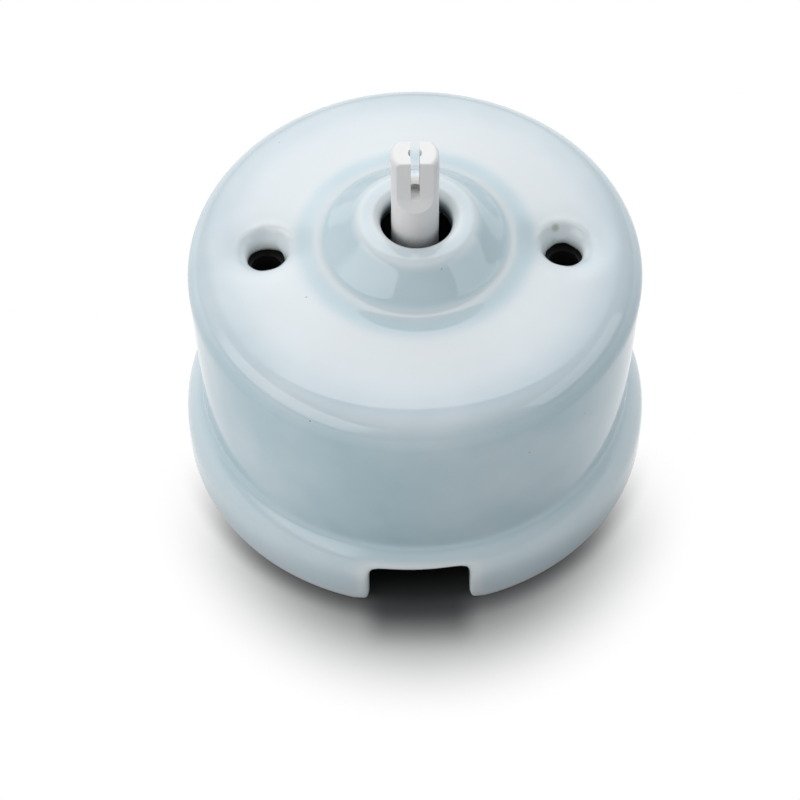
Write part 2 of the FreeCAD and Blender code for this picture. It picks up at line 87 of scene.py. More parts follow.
cover = {
    "turnSteps": 96,
    "weld": 0.01,
    # collar, from the throat over the rim and down the cone
    "collarTop": coverHigh.z / mm,
    "collarLean": 0.2,
    "leanFrom": 40.6,
    "leanRise": 3.0,
    "throat": 4.75,
    "throatRings": (0.15, 0.8, 1.5),  # over the recess
    "rimInnerRound": 1.47,
    "rimRing": 6.87,
    "rimRound": 2.38,
    "coneDeg": 45,
    "coneFoot": 12.0,
    "plinth": ((12.4, 0.68), (12.8, 0.55), (13.2, 0.5), (13.6, 0.454),  # a ledge, as radius and rise
               (14.2, 0.327), (15.0, 0.164), (16.0, 0.043)),  # then a hollow out to the dome
    # deck, shoulder, wall and flange
    "domeHeight": 40.4,
    "domeRadius": 175.0,
    "deckRings": (17.2, 18.4, 19.7, 21.0, 22.3, 23.6, 24.9, 26.0),
    "deckInner": 13.4,
    "deckLow": 37.0,
    "shoulderCentre": (26.32, 33.93),
    "shoulderRound": 4.4,
    "shoulderTopDeg": 81.2,
    "wallFoot": 29.5,
    "wallFlareDeg": 2.0,
    "wallRings": (31, 27.5, 24, 20.5, 17, 14.4, 12.6),
    "coveCentre": (31.9, 11.33),
    "coveRound": 2.0,
    "coveTopDeg": 178,
    "coveFootDeg": 224.7,
    "flangeRadius": coverHigh.x / mm,
    "flangeRound": 7.0,
    "flangeBand": 5.0,
    "flangeTopDeg": 33,
    # foot and inside
    "footRings": (3.4, 1.9),
    "footRound": 0.8,
    "footCorner": (0.25, 0.2),
    "soleRings": (1.9, 3.1),  # in from the flange
    "soleInner": 1.7,  # out from the cavity
    "cavityRadius": 26.8,
    "cavityCorner": 0.35,
    "cavityLowRings": (1.9, 3.4, 5.0, 6.34),
    "cavityRings": (8.8, 10.5, 13, 17, 21, 25, 29),
    "roof": 35.0,
    "roofRound": 2.5,
    "roofRings": (23.0, 21.6, 20.3, 19.0, 17.7, 16.2, 13.5, 11, 9.3),
    "roofSlack": 0.2,
    "recessRadius": 9.0,
    "recessRings": (0.3, 2.0, 4.0),  # over the roof
    "recessShoulder": 40.25,
    "recessTop": 7.85,
    "recessRoof": 41.4,
    "recessEase": 0.1,
    "recessRoofRings": (7.3, 6.2, 5.1),
    # screw holes
    "holeX": 20.0,
    "holeBore": 2.5,
    "holeOpening": 3.5,
    "dishReach": 6.6,
    "dishCrease": 3.9,
    "dishDepth": 0.6,
    "dishCurve": 1.3,
    "dishBackLift": 0.36,  # shallower on the side away from the cable notch
    "dishOuterDrop": 0.34,  # deeper on the side of the shoulder
    "boreRings": ((3.6, 0.86, 1.0, 0.9), (3.25, 1.2, 0.9, 0.4),  # radius, depth, share of dome and of tilt
                  (2.92, 1.7, 0.6, 0.0), (2.66, 2.3, 0.3, 0.0)),
    "boreFootRings": ((0.04, 2.75, 0.3), (0.0, 3.75, 1.0)),  # wider than the bore, depth, raggedness
    "boreRagged": 0.06,
    "boreWaves": (3, 5),
    "boreWavePhase": 2,
    "chips": {-1: (38, 0.6), 1: (98, 1.0)},  # chipped spot on each bore's lower edge: bearing and height
    "chipWidthDeg": 16.0,
    "chipFlare": 1.1,
    "undersideOpening": 2.3,
    "undersideWider": 0.35,
    # cable notch
    "notchHalf": 6.85,
    "notchHeight": 7.62,
    "notchColumns": 3,
    "notchCalmDeg": 42,
    "notchFadeTop": 14.0,
    "notchFadeRun": 5.5,
    "notchSkin": -31.0,  # the outer skin lies before this
    "notchLift": 0.15,
    "notchLean": 0.035,  # the top edge rises a little to the right
    "notchCornerReach": 0.3,
    "notchCornerIn": 0.955,
    "notchCornerDrop": 0.32,
    "notchTopReach": 0.4,
    "notchWallCuts": 3,
    "notchEdgeRound": 0.75,
    "notchEdgeSegments": 2,
    "notchEdgeBend": 1.0,  # radians
    "notchEdgeLow": 0.5,
    "notchEdgeOver": 0.6,
    "notchSlack": 0.05,
    "footEase": 1.7,
    "footSlack": (0.02, 0.1),
    "footSmoothing": 3,
    # glaze
    "glazeReach": 3.0,
    "glazeBlur": 3,
}


def domeAt(radius):
    return cover["domeHeight"] - cover["domeRadius"] + math.sqrt(cover["domeRadius"] ** 2 - radius ** 2)


def collarPoints():
    throat, inner = cover["throat"], cover["rimInnerRound"]
    points = [(throat, cover["recessRoof"] + lift) for lift in cover["throatRings"]]
    points += arcPoints((throat + inner, cover["collarTop"] - inner), inner, 180, 90, 5)
    rim = (cover["rimRing"], cover["collarTop"] - cover["rimRound"])
    points += arcPoints(rim, cover["rimRound"], 90, cover["coneDeg"], 3)
    coneTop = points[-1]
    coneDrop = (cover["coneFoot"] - coneTop[0]) / math.tan(math.radians(cover["coneDeg"]))
    coneLow = (cover["coneFoot"], coneTop[1] - coneDrop)
    points += linePoints(coneTop, coneLow, 5) + [coneLow]
    points += [(radius, domeAt(radius) + rise) for radius, rise in cover["plinth"]]
    return points


def sidePoints():
    flare = math.radians(cover["wallFlareDeg"])
    points = [(r, domeAt(r)) for r in cover["deckRings"]]
    points += arcPoints(cover["shoulderCentre"], cover["shoulderRound"], cover["shoulderTopDeg"],
                        -cover["wallFlareDeg"], 10)
    points += [(cover["wallFoot"] + z * math.tan(flare), z) for z in cover["wallRings"]]
    points += arcPoints(cover["coveCentre"], cover["coveRound"], cover["coveTopDeg"], cover["coveFootDeg"], 4)
    flange = (cover["flangeRadius"] - cover["flangeRound"], cover["flangeBand"])
    points += arcPoints(flange, cover["flangeRound"], cover["flangeTopDeg"], 0, 3)
    return points


def footPoints():
    outer, inner = cover["flangeRadius"], cover["cavityRadius"]
    lip, corner = cover["footRound"], cover["cavityCorner"]
    points = [(outer, z) for z in (*cover["footRings"], lip)]
    points += [(outer - cover["footCorner"][0], cover["footCorner"][1])]
    points += [(outer - depth, 0) for depth in (lip, *cover["soleRings"])]
    points += [(inner + cover["soleInner"], 0), (inner + lip, 0), (inner + corner, corner)]
    heights = (lip, *cover["cavityLowRings"], cover["notchHeight"], *cover["cavityRings"])
    points += [(inner, z) for z in heights]
    return points


def roofPoints():
    corner = (cover["cavityRadius"] - cover["roofRound"], cover["roof"] - cover["roofRound"])
    points = arcPoints(corner, cover["roofRound"], 0, 90, 4)
    points += [(r, cover["roof"]) for r in cover["roofRings"]]
    points += [(cover["recessRadius"], cover["roof"] + lift) for lift in cover["recessRings"]]
    points += [(cover["recessRadius"] - cover["recessEase"], cover["recessShoulder"])]
    points += [(cover["recessTop"], cover["recessRoof"] - cover["recessEase"])]
    points += [(r, cover["recessRoof"]) for r in cover["recessRoofRings"]]
    return points


def spunShell():
    bm = bmesh.new()
    profile = collarPoints() + sidePoints() + footPoints() + roofPoints()
    corners = [bm.verts.new((r * mm, 0, z * mm)) for r, z in profile]
    ring = [bm.edges.new((a, b)) for a, b in zip(corners, corners[1:] + corners[:1])]
    bmesh.ops.spin(bm, geom=corners + ring, cent=(0, 0, 0), axis=(0, 0, 1), angle=2 * math.pi,
                   steps=cover["turnSteps"], use_merge=True, use_duplicate=False)
    bmesh.ops.remove_doubles(bm, verts=bm.verts, dist=cover["weld"] * mm)
    return bm


def leanCollar(bm):
    for vert in bm.verts:
        share = smoothStep((vert.co.z / mm - cover["leanFrom"]) / cover["leanRise"])
        vert.co.x += cover["collarLean"] * share * mm


def fromHole(co, side):
    return math.hypot(co.x / mm - side * cover["holeX"], co.y / mm)


def awayFromHole(vert, side):
    return Vector((vert.co.x - side * cover["holeX"] * mm, vert.co.y, 0)).normalized()


def onDeck(vert):  # the outer top, between the collar's plinth and the shoulder
    return vert.co.z > cover["deckLow"] * mm and math.hypot(vert.co.x, vert.co.y) > cover["deckInner"] * mm


def onRoof(vert):
    return abs(vert.co.z - cover["roof"] * mm) < cover["roofSlack"] * mm


def dishTilt(away, side):
    return cover["dishOuterDrop"] * max(0, side * away.x) - cover["dishBackLift"] * max(0, away.y)


def sinkDish(bm, side):
    for vert in filter(onDeck, bm.verts):
        share = (cover["dishReach"] - fromHole(vert.co, side)) / (cover["dishReach"] - cover["dishCrease"])
        depth = cover["dishDepth"] + dishTilt(awayFromHole(vert, side), side)
        vert.co.z -= depth * min(1, max(0, share)) ** cover["dishCurve"] * mm


def openRound(bm, side, chosen, reach):  # takes out the faces over a hole and gives the edges round it
    gone = [f for f in bm.faces if all(chosen(v) for v in f.verts)
            and fromHole(f.calc_center_median(), side) < reach]
    bmesh.ops.delete(bm, geom=gone, context="FACES")
    return [e for e in bm.edges if e.is_boundary and all(chosen(v) for v in e.verts)
            and fromHole(e.verts[0].co, side) < 2 * reach]


def placeRing(edges, side, radius, depth, follow, lift=0.0, ragged=0.0, flare=0.0):
    surface = domeAt(cover["holeX"])
    bearing, height = cover["chips"][side]
    slow, quick = cover["boreWaves"]
    for vert in {v for e in edges for v in e.verts}:
        away = awayFromHole(vert, side)
        turn = math.atan2(away.y, away.x)
        waves = math.sin(slow * turn + side) + math.sin(quick * turn + cover["boreWavePhase"])
        wobble = ragged * cover["boreRagged"] * waves
        chip = math.exp(-((math.degrees(turn) - bearing) / cover["chipWidthDeg"]) ** 4)
        reach = radius + wobble + flare * height * chip
        spot = Vector((side * cover["holeX"] * mm, 0, 0)) + away * reach * mm
        level = surface + follow * (domeAt(spot.length / mm) - surface)
        level += ragged * height * chip - lift * dishTilt(away, side)
        vert.co = Vector((spot.x, spot.y, (level - depth) * mm))


def drawRing(bm, edges):
    made = bmesh.ops.extrude_edge_only(bm, edges=edges)
    return [g for g in made["geom"] if isinstance(g, bmesh.types.BMEdge) and g.is_boundary]


def boreHole(bm, side):
    sinkDish(bm, side)
    edges = openRound(bm, side, onDeck, cover["holeOpening"])
    placeRing(edges, side, cover["dishCrease"], cover["dishDepth"], 1.0, 1.0)
    for radius, depth, follow, lift in cover["boreRings"]:
        edges = drawRing(bm, edges)
        placeRing(edges, side, radius, depth, follow, lift)
    for wider, depth, ragged in cover["boreFootRings"]:
        edges = drawRing(bm, edges)
        placeRing(edges, side, cover["holeBore"] + wider, depth, 0.0, ragged=ragged)
    below = openRound(bm, side, onRoof, cover["undersideOpening"])
    underside = domeAt(cover["holeX"]) - cover["roof"]
    radius = cover["holeBore"] + cover["undersideWider"]
    placeRing(below, side, radius, underside, 0.0, flare=cover["chipFlare"])
    bmesh.ops.bridge_loops(bm, edges=edges + below)


def squareUpNotch(bm):  # slides the mesh columns beside the notch on to its straight sides
    column = 2 * math.pi / cover["turnSteps"] * cover["notchColumns"]
    calm = math.radians(cover["notchCalmDeg"])
    for vert in bm.verts:
        radius = math.hypot(vert.co.x, vert.co.y)
        angle = math.atan2(vert.co.x, -vert.co.y)
        fade = smoothStep((cover["notchFadeTop"] * mm - vert.co.z) / (cover["notchFadeRun"] * mm))
        if fade == 0 or abs(angle) >= calm:
            continue
        side = math.asin(cover["notchHalf"] * mm / radius)
        if abs(angle) <= column:
            wanted = abs(angle) * side / column
        else:
            wanted = side + (abs(angle) - column) * (calm - side) / (calm - column)
        angle = math.copysign(abs(angle) + (wanted - abs(angle)) * fade, angle)
        vert.co.x = radius * math.sin(angle)
        vert.co.y = -radius * math.cos(angle)


def inNotch(face):
    middle = face.calc_center_median()
    return abs(middle.x) < cover["notchHalf"] * mm and middle.z < cover["notchHeight"] * mm and middle.y < 0


def onNotchEdge(edge):  # the notch's edge on the outer skin
    half = (cover["notchHalf"] + cover["notchSlack"]) * mm
    low, high = cover["notchEdgeLow"] * mm, (cover["notchHeight"] + cover["notchEdgeOver"]) * mm
    for vert in edge.verts:
        if abs(vert.co.x) >= half or vert.co.y >= cover["notchSkin"] * mm or not low < vert.co.z < high:
            return False
    return edge.calc_face_angle(0) > cover["notchEdgeBend"]


def easeNotchTop(verts):  # rounds the notch's two top corners and leans its top edge
    reach = cover["notchCornerReach"]
    for vert in verts:
        high = vert.co.z > (cover["notchHeight"] - reach) * mm
        if high and abs(vert.co.x) > (cover["notchHalf"] - reach) * mm:
            vert.co.x *= cover["notchCornerIn"]
            vert.co.z -= cover["notchCornerDrop"] * mm
        if vert.co.z > (cover["notchHeight"] - cover["notchTopReach"]) * mm:
            vert.co.z += cover["notchLift"] * mm + cover["notchLean"] * vert.co.x


def easeFeet(bm):  # rounds the notch's two lower corners
    onSide, inside = cover["footSlack"]
    for vert in bm.verts:
        if abs(abs(vert.co.x) - cover["notchHalf"] * mm) < onSide * mm and vert.co.y < 0:
            drop = max(0, cover["footRound"] - vert.co.z / mm)
            vert.co.x += math.copysign(drop * mm, vert.co.x)
    feet = [v for v in bm.verts if -inside < abs(v.co.x) / mm - cover["notchHalf"] < cover["footEase"]
            and v.co.z < cover["footEase"] * mm and v.co.y < -cover["cavityRadius"] * mm]
    for _ in range(cover["footSmoothing"]):
        bmesh.ops.smooth_vert(bm, verts=feet, factor=0.5, use_axis_x=True, use_axis_y=True, use_axis_z=True)


def cutNotch(bm):
    squareUpNotch(bm)
    bmesh.ops.delete(bm, geom=[f for f in bm.faces if inNotch(f)], context="FACES")
    lip = (cover["footRound"] - cover["notchSlack"]) * mm
    wall = [e for e in bm.edges if e.is_boundary and min(v.co.z for v in e.verts) > lip]
    easeNotchTop({v for e in wall for v in e.verts})
    made = bmesh.ops.bridge_loops(bm, edges=wall)
    bmesh.ops.subdivide_edges(bm, edges=made["edges"], cuts=cover["notchWallCuts"], use_grid_fill=True)
    rest = [e for e in bm.edges if e.is_boundary]
    bmesh.ops.holes_fill(bm, edges=rest, sides=0)
    bmesh.ops.recalc_face_normals(bm, faces=bm.faces)
    bmesh.ops.bevel(bm, geom=[e for e in bm.edges if onNotchEdge(e)], offset=cover["notchEdgeRound"] * mm,
                    offset_type="OFFSET", affect="EDGES", segments=cover["notchEdgeSegments"], profile=0.5,
                    material=-1)
    easeFeet(bm)


def markGlaze(bm):  # +1 on edges where the glaze runs thin, -1 where it pools
    bm.normal_update()
    layer = bm.verts.layers.float.new("glazePool")
    for vert in bm.verts:
        around = [edge.other_vert(vert).co - vert.co for edge in vert.link_edges]
        bend = -sum(step.dot(vert.normal) / step.length_squared for step in around) / len(around)
        vert[layer] = min(1, max(-1, bend * cover["glazeReach"] * mm))
    for _ in range(cover["glazeBlur"]):
        blurred = {}
        for vert in bm.verts:
            around = [edge.other_vert(vert)[layer] for edge in vert.link_edges]
            blurred[vert] = 0.5 * vert[layer] + 0.5 * sum(around) / len(around)
        for vert, value in blurred.items():
            vert[layer] = value


def buildCover():
    bm = spunShell()
    leanCollar(bm)
    for side in (-1, 1):
        boreHole(bm, side)
    cutNotch(bm)
    bmesh.ops.recalc_face_normals(bm, faces=bm.faces)
    markGlaze(bm)
    print("cover: open edges", sum(e.is_boundary for e in bm.edges), "faces", len(bm.faces))
    piece = meshObject("coverGlaze", bm)
    subdivision = piece.modifiers.new("soften", "SUBSURF")
    subdivision.levels = subdivision.render_levels = 1
    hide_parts("porcelain_cover")
    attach(piece, "housing")
    return piece


coverGlaze = buildCover()


# surface finish helpers

def newMaterial(name):
    material = bpy.data.materials.new(name)
    material.use_nodes = True
    tree = material.node_tree
    return material, tree, tree.nodes["Principled BSDF"]


def addNode(tree, kind, values=None, **settings):
    node = tree.nodes.new(kind)
    for key, value in settings.items():
        setattr(node, key, value)
    for key, value in (values or {}).items():
        node.inputs[key].default_value = value
    return node


def placeOf(tree):
    return addNode(tree, "ShaderNodeTexCoord").outputs["Object"]


def axesOf(tree, vector):
    axes = addNode(tree, "ShaderNodeSeparateXYZ")
    tree.links.new(vector, axes.inputs["Vector"])
    return axes.outputs


def noiseOf(tree, size, detail=2.0, rough=0.5, stretch=(1, 1, 1)):  # size of the pattern in millimetres
    scale = addNode(tree, "ShaderNodeMapping", {"Scale": stretch})
    noise = addNode(tree, "ShaderNodeTexNoise",
                    {"Scale": 1 / (size * mm), "Detail": detail, "Roughness": rough})
    tree.links.new(placeOf(tree), scale.inputs["Vector"])
    tree.links.new(scale.outputs["Vector"], noise.inputs["Vector"])
    return noise.outputs["Fac"]


def rampOf(tree, source, low, high, span=(0.0, 1.0), kind="LINEAR"):
    ramp = addNode(tree, "ShaderNodeMapRange", {"From Min": span[0], "From Max": span[1],
                                                "To Min": low, "To Max": high}, interpolation_type=kind)
    tree.links.new(source, ramp.inputs["Value"])
    return ramp.outputs["Result"]


def fadeOf(tree, source, low, high, span, kind="SMOOTHSTEP"):  # a ramp over a span in millimetres
    return rampOf(tree, source, low, high, (span[0] * mm, span[1] * mm), kind)


def timesOf(tree, first, second):
    product = addNode(tree, "ShaderNodeMath", operation="MULTIPLY")
    tree.links.new(first, product.inputs[0])
    tree.links.new(second, product.inputs[1])
    return product.outputs[0]


def mixOf(tree, share, first, second):
    mix = addNode(tree, "ShaderNodeMix", data_type="RGBA")
    for socket, value in ((mix.inputs[6], first), (mix.inputs[7], second)):
        if isinstance(value, tuple):
            socket.default_value = (*value, 1)
        else:
            tree.links.new(value, socket)
    tree.links.new(share, mix.inputs[0])
    return mix.outputs[2]


def bumpOf(tree, shader, height, strength, distance):
    bump = addNode(tree, "ShaderNodeBump", {"Strength": strength, "Distance": distance * mm})
    tree.links.new(height, bump.inputs["Height"])
    tree.links.new(bump.outputs["Normal"], shader.inputs["Normal"])


def distanceOf(tree, vector, spot=(0, 0, 0)):
    away = addNode(tree, "ShaderNodeVectorMath", {1: tuple(part * mm for part in spot)}, operation="DISTANCE")
    tree.links.new(vector, away.inputs[0])
    return away.outputs["Value"]


# glaze: thin and pale on the deck and edges, thick and blue down the wall and in hollows; the screw holes
# carry painted light and the throat painted shade

glaze = {
    "flange": (0.56, 0.67, 0.72),
    "wall": (0.405, 0.555, 0.625),
    "wallHeights": (9.0, 12.0),  # from the flange's colour to the wall's
    "deck": (0.63, 0.67, 0.70),
    "deckHeights": (35.5, 39.3),
    "deckEdge": (0.43, 0.52, 0.575),
    "deckEdgeShare": 0.5,
    "deckEdgeRadii": (22.3, 27.0),
    "deckEdgeHeights": (36.8, 38.2),
    "collar": (0.48, 0.59, 0.645),
    "collarRadii": (15.0, 17.2),
    "cloud": (0.685, 0.765, 0.80),
    "cloudShare": 0.45,
    "cloudSpan": (0.42, 0.72),
    "cloudSize": 24.0,
    "cloudDetail": 3,
    "cloudRough": 0.55,
    "pool": (0.46, 0.59, 0.65),
    "poolBend": (-0.5, -0.03),
    "pale": (0.74, 0.775, 0.79),
    "paleShare": 0.68,
    "paleBend": (0.14, 0.36),
    "ledge": (0.58, 0.615, 0.63),
    "ledgeShare": 0.6,
    "ledgeInner": (12.0, 12.8),
    "ledgeOuter": (13.2, 14.4),
    # painted light: the back slope of each dish, which faces away from the lamps, is coloured paler
    "dishLightShare": 0.55,
    "dishLightRadii": (3.4, 5.0),
    "dishBack": (-1.5, 1.5),
    # painted light: the bore's inside is coloured paler than the glaze around it, to lighten its shading
    "bore": (0.72, 0.78, 0.80),
    "boreRadii": (2.6, 3.4),
    "bisque": (0.34, 0.30, 0.24),
    "bisqueHeights": (35.3, 36.1),
    # painted shade: the throat's wall is coloured near black below the rim, where shade falls
    "throat": (0.03, 0.035, 0.035),
    "throatShadeShare": 0.94,
    "throatShadeHeights": (42.3, 44.4),
    "throatShadeRadii": (5.3, 6.0),
    "speckShare": 0.85,
    "speckCore": 0.3,
    "specks": (  # place, radius and colour
        ((18.9, 3.2, 38.3), 0.8, (0.42, 0.46, 0.38)),
        ((-14.5, -9.1, 39.6), 0.16, (0.22, 0.2, 0.2)),
        ((-13.4, -1.2, 40.5), 0.16, (0.2, 0.2, 0.24)),
        ((-17.4, 7.9, 39.5), 0.13, (0.3, 0.28, 0.28)),
        ((-18.3, 19.1, 38.4), 0.14, (0.3, 0.28, 0.28)),
        ((3.3, -8.3, 44.0), 0.13, (0.25, 0.25, 0.27)),
        ((14.5, -26.9, 28.4), 0.2, (0.1, 0.13, 0.15)),
        ((22.1, -21.1, 29.0), 0.16, (0.12, 0.15, 0.17)),
        ((-14.1, -26.7, 36.0), 0.18, (0.15, 0.17, 0.18)),
    ),
    "rough": (0.02, 0.06),
    "roughSize": 3.0,
    "waveSize": 9.0,
    "waveDetail": 1.5,
    "waveStrength": 0.10,
    "waveHeight": 0.2,
}


def glazeByHeight(tree, axes, reach):  # flange, wall, deck and collar
    body = mixOf(tree, fadeOf(tree, axes["Z"], 0, 1, glaze["wallHeights"], "LINEAR"),
                 glaze["flange"], glaze["wall"])
    body = mixOf(tree, fadeOf(tree, axes["Z"], 0, 1, glaze["deckHeights"], "LINEAR"), body, glaze["deck"])
    deckEdge = timesOf(tree, fadeOf(tree, reach, 0, glaze["deckEdgeShare"], glaze["deckEdgeRadii"]),
                       fadeOf(tree, axes["Z"], 0, 1, glaze["deckEdgeHeights"], "LINEAR"))
    body = mixOf(tree, deckEdge, body, glaze["deckEdge"])
    return mixOf(tree, fadeOf(tree, reach, 1, 0, glaze["collarRadii"]), body, glaze["collar"])


def glazeByThickness(tree, body, reach):  # soft clouds, pools in hollows, pale edges and the collar's ledge
    cloud = noiseOf(tree, glaze["cloudSize"], glaze["cloudDetail"], glaze["cloudRough"])
    body = mixOf(tree, rampOf(tree, cloud, 0, glaze["cloudShare"], glaze["cloudSpan"]), body, glaze["cloud"])
    pool = addNode(tree, "ShaderNodeAttribute", attribute_name="glazePool").outputs["Fac"]
    body = mixOf(tree, rampOf(tree, pool, 1, 0, glaze["poolBend"]), body, glaze["pool"])
    body = mixOf(tree, rampOf(tree, pool, 0, glaze["paleShare"], glaze["paleBend"]), body, glaze["pale"])
    ledge = timesOf(tree, fadeOf(tree, reach, 0, glaze["ledgeShare"], glaze["ledgeInner"], "LINEAR"),
                    fadeOf(tree, reach, 1, 0, glaze["ledgeOuter"], "LINEAR"))
    return mixOf(tree, ledge, body, glaze["ledge"])


def glazeInHoles(tree, body, axes, flat, reach):  # dishes and bores with painted light, bores with a bare lower edge, and the throat with painted shade
    folded = addNode(tree, "ShaderNodeVectorMath", operation="ABSOLUTE")  # both holes in one
    tree.links.new(flat, folded.inputs[0])
    holeReach = distanceOf(tree, folded.outputs["Vector"], (cover["holeX"], 0, 0))
    # painted light on the back slope of each dish
    paintedDishLight = timesOf(tree, fadeOf(tree, holeReach, glaze["dishLightShare"], 0, glaze["dishLightRadii"]),
                     fadeOf(tree, axes["Y"], 0, 1, glaze["dishBack"], "LINEAR"))
    body = mixOf(tree, paintedDishLight, body, glaze["pale"])
    inBore = fadeOf(tree, holeReach, 1, 0, glaze["boreRadii"])
    # painted light: a paler colour inside each bore
    body = mixOf(tree, inBore, body, glaze["bore"])
    boreFoot = timesOf(tree, inBore, fadeOf(tree, axes["Z"], 1, 0, glaze["bisqueHeights"]))
    body = mixOf(tree, boreFoot, body, glaze["bisque"])
    # painted shade: near black down the throat
    paintedThroatShade = timesOf(tree, fadeOf(tree, axes["Z"], glaze["throatShadeShare"], 0, glaze["throatShadeHeights"]),
                       fadeOf(tree, reach, 1, 0, glaze["throatShadeRadii"]))
    return mixOf(tree, paintedThroatShade, body, glaze["throat"])


def speckOn(tree, body, place, spot, radius, colour):
    share = fadeOf(tree, distanceOf(tree, place, spot), glaze["speckShare"], 0,
                   (glaze["speckCore"] * radius, radius))
    return mixOf(tree, share, body, colour)


def porcelainGlaze():
    material, tree, shader = newMaterial("porcelainGlaze")
    place = placeOf(tree)
    axes = axesOf(tree, place)
    flatten = addNode(tree, "ShaderNodeVectorMath", {1: (1, 1, 0)}, operation="MULTIPLY")
    tree.links.new(place, flatten.inputs[0])
    flat = flatten.outputs["Vector"]
    reach = distanceOf(tree, flat)
    body = glazeByHeight(tree, axes, reach)
    body = glazeByThickness(tree, body, reach)
    body = glazeInHoles(tree, body, axes, flat, reach)
    for spot, radius, colour in glaze["specks"]:
        body = speckOn(tree, body, place, spot, radius, colour)
    tree.links.new(body, shader.inputs["Base Color"])
    gloss = rampOf(tree, noiseOf(tree, glaze["roughSize"]), *glaze["rough"])
    tree.links.new(gloss, shader.inputs["Roughness"])
    wave = noiseOf(tree, glaze["waveSize"], glaze["waveDetail"])
    bumpOf(tree, shader, wave, glaze["waveStrength"], glaze["waveHeight"])
    return material


coverGlaze.data.materials.append(porcelainGlaze())
print("glaze set:", len(glaze["specks"]), "specks")


# finishes of the spindle and of the pieces inside

plastic = {
    "patchSize": 6.0,
    "patchDetail": 3,
    "roughSpread": 0.07,
    "roughDetail": 4,
    "grainDetail": 3,
    "grainStrength": 0.15,
    "grainHeight": 0.03,
}


def plasticOf(name, colour, lighter, rough, grain):
    material, tree, shader = newMaterial(name)
    patch = noiseOf(tree, plastic["patchSize"], plastic["patchDetail"])
    tree.links.new(mixOf(tree, patch, colour, lighter), shader.inputs["Base Color"])
    low, high = rough - plastic["roughSpread"], rough + plastic["roughSpread"]
    tree.links.new(rampOf(tree, noiseOf(tree, grain, plastic["roughDetail"]), low, high),
                   shader.inputs["Roughness"])
    bumpOf(tree, shader, noiseOf(tree, grain, plastic["grainDetail"]), plastic["grainStrength"],
           plastic["grainHeight"])
    return material


metal = {
    "patchSize": 4.0,
    "patchDetail": 3,
    "drawnSize": 0.5,
    "drawnDetail": 4,
    "drawnRough": 0.6,
    "drawnStrength": 0.2,
    "drawnHeight": 0.01,
    "smoother": 0.1,
    "rougher": 0.12,
}


def metalOf(name, colour, lighter, rough, stretch):  # stretch sets the way that the metal was drawn
    material, tree, shader = newMaterial(name)
    shader.inputs["Metallic"].default_value = 1
    patch = noiseOf(tree, metal["patchSize"], metal["patchDetail"])
    tree.links.new(mixOf(tree, patch, colour, lighter), shader.inputs["Base Color"])
    drawn = noiseOf(tree, metal["drawnSize"], metal["drawnDetail"], metal["drawnRough"], stretch)
    tree.links.new(rampOf(tree, drawn, rough - metal["smoother"], rough + metal["rougher"]),
                   shader.inputs["Roughness"])
    bumpOf(tree, shader, drawn, metal["drawnStrength"], metal["drawnHeight"])
    return material


finishes = {  # colour and lighter colour, roughness, then the grain's size or its stretch
    "white_moulding": plasticOf("whiteMoulding", (0.755, 0.747, 0.75), (0.805, 0.796, 0.796), 0.42, 0.35),
    "black_moulding": plasticOf("blackMoulding", (0.012, 0.012, 0.013), (0.02, 0.02, 0.021), 0.5, 0.5),
    "brown_moulding": plasticOf("brownMoulding", (0.11, 0.045, 0.025), (0.15, 0.065, 0.035), 0.4, 0.6),
    "brass": metalOf("brass", (0.66, 0.46, 0.19), (0.74, 0.55, 0.26), 0.3, (1, 1, 0.15)),
    "bronze": metalOf("bronze", (0.60, 0.36, 0.20), (0.68, 0.43, 0.25), 0.34, (1, 0.15, 1)),
    "spring_steel": metalOf("springSteel", (0.38, 0.38, 0.40), (0.5, 0.5, 0.51), 0.32, (0.15, 1, 1)),
    "screw_steel": metalOf("screwSteel", (0.55, 0.55, 0.54), (0.64, 0.64, 0.62), 0.28, (1, 1, 1)),
}


def setFinish(mesh, finish):
    for index in range(len(mesh.materials)):
        mesh.materials[index] = finish
    if not mesh.materials:
        mesh.materials.append(finish)


for subpart in frame["record"]["subparts"]:
    if subpart["material_slot"] in finishes:
        setFinish(nodes[subpart["node"]].data, finishes[subpart["material_slot"]])
print("finishes set:", len(finishes))


# camera and studio

camera = {
    "distance": 420.0,
    "elevationDeg": 53.85,
    "azimuthDeg": 1.15,
    "focalPixels": 2907.7,
    "imagePixels": 800,
    "originX": 415.0,  # pixel of the part's origin
    "originY": 416.9,
    "sensorWide": 36,
    "clip": (0.01, 20),  # metres
}


def placeCamera():
    data = bpy.data.cameras.new("photoCamera")
    data.sensor_width = camera["sensorWide"]
    data.lens = camera["focalPixels"] * data.sensor_width / camera["imagePixels"]
    half = camera["imagePixels"] / 2
    data.shift_x = (half - camera["originX"]) / camera["imagePixels"]
    data.shift_y = (camera["originY"] - half) / camera["imagePixels"]
    data.clip_start, data.clip_end = camera["clip"]
    rise = math.radians(camera["elevationDeg"])
    turn = math.radians(camera["azimuthDeg"])
    back = Vector((-math.sin(turn) * math.cos(rise), -math.cos(turn) * math.cos(rise), math.sin(rise)))
    seat = bpy.data.objects.new("photoCamera", data)
    seat.location = back * camera["distance"] * mm
    seat.rotation_euler = (-back).to_track_quat("-Z", "Y").to_euler()
    bpy.context.scene.collection.objects.link(seat)
    bpy.context.scene.camera = seat


# panels one metre away, in degrees seen from the part: azimuth from the camera side, positive to the right
lamps = {
    "backBox": {"azimuth": 184, "elevation": 40, "halfWide": 40, "halfHigh": 37.5, "radiance": 2.5,
                "low": 1.12, "high": 0.9, "sideFade": 0.42, "footFade": 0.5},
    "leftPanel": {"azimuth": -60, "elevation": 25, "halfWide": 42, "halfHigh": 19, "radiance": 2.02,
                  "low": 1.0, "high": 1.0, "sideFade": 0.24, "footFade": 0.2},
    "rightPanel": {"azimuth": 80, "elevation": 30, "halfWide": 25, "halfHigh": 14, "radiance": 1.4,
                   "colour": (0.88, 0.97, 1.0)},
    "ceiling": {"azimuth": 0, "elevation": 72, "halfWide": 26, "halfHigh": 20, "radiance": 0.29},
}


